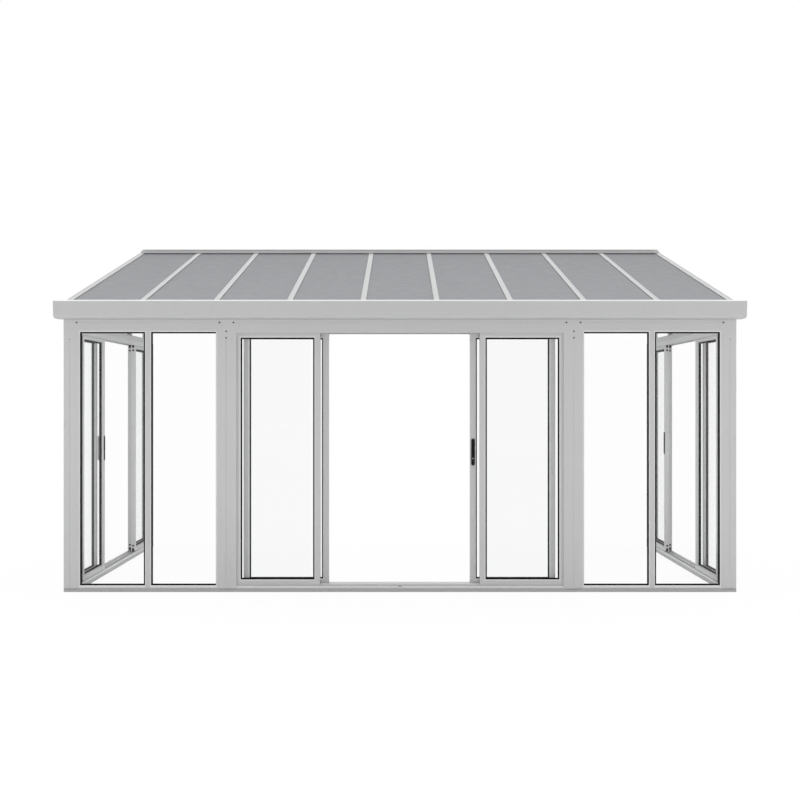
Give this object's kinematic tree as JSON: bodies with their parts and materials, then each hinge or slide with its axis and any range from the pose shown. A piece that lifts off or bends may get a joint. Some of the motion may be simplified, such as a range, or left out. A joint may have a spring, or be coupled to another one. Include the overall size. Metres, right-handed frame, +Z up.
{
  "type": "lean-to conservatory",
  "caption": "Lean-to conservatory with sliding glass doors in its front and sides, fixed front windows, a sloping glazed roof and a front gutter, open at the back for a house wall.",
  "frame": {"origin": "on the ground, in the middle of the plan of the whole object, gutter included", "axes": "+X along the front to the right as seen from outside, +Y from the gutter to the house wall, +Z up"},
  "size_m": [5.46, 2.947, 3.0962],
  "materials": {
    "frame": "light grey powder coat, satin",
    "gutter": "light grey powder coat, satin",
    "roof_bar": "light grey powder coat, satin",
    "base_rail": "grey powder coat, satin",
    "glass": "clear double glazing",
    "roof_panel": "translucent grey multiwall sheet",
    "seal": "black glazing seal",
    "handle": "black satin"
  },
  "bodies": {
    "root": {"base_rail_front": "base_rail", "base_rail_sides": "base_rail", "corner_posts": "frame", "window_frames": "frame", "window_panes": "glass", "window_seals": "seal", "door_heads": "frame", "door_sills": "frame", "door_jambs": "frame", "fixed_leaf_frames": "frame", "fixed_leaf_panes": "glass", "fixed_leaf_seals": "seal", "eaves_beam": "frame", "gutter": "gutter", "gutter_floor": "gutter", "gutter_back": "gutter", "gutter_end_caps": "gutter", "rafters": "roof_bar", "roof_panels": "roof_panel", "panel_closers": "roof_bar", "cap_gaskets": "seal", "rafter_caps": "roof_bar", "wall_plate": "gutter", "gable_frames": "frame", "gable_panes": "glass", "gable_seals": "seal"},
    "front_left": {"front_left_leaf": "frame", "front_left_pane": "glass", "front_left_seals": "seal"},
    "front_right": {"front_right_leaf": "frame", "front_right_pane": "glass", "front_right_seals": "seal", "front_handle": "handle"},
    "left_front": {"left_front_leaf": "frame", "left_front_pane": "glass", "left_front_seals": "seal", "left_handle": "handle"},
    "left_rear": {"left_rear_leaf": "frame", "left_rear_pane": "glass", "left_rear_seals": "seal"},
    "right_front": {"right_front_leaf": "frame", "right_front_pane": "glass", "right_front_seals": "seal"},
    "right_rear": {"right_rear_leaf": "frame", "right_rear_pane": "glass", "right_rear_seals": "seal", "right_handle": "handle"}
  },
  "joints": [
    {"name": "front_left_slide", "type": "slide", "parent": "root", "child": "front_left", "axis": [1, 0, 0], "range_m": [0, 0.568]},
    {"name": "front_right_slide", "type": "slide", "parent": "root", "child": "front_right", "axis": [-1, 0, 0], "range_m": [0, 0.559]},
    {"name": "left_front_slide", "type": "slide", "parent": "root", "child": "left_front", "axis": [0, 1, 0], "range_m": [0, 0.559]},
    {"name": "left_rear_slide", "type": "slide", "parent": "root", "child": "left_rear", "axis": [0, -1, 0], "range_m": [0, 0.568]},
    {"name": "right_front_slide", "type": "slide", "parent": "root", "child": "right_front", "axis": [0, 1, 0], "range_m": [0, 0.568]},
    {"name": "right_rear_slide", "type": "slide", "parent": "root", "child": "right_rear", "axis": [0, -1, 0], "range_m": [0, 0.559]}
  ]
}
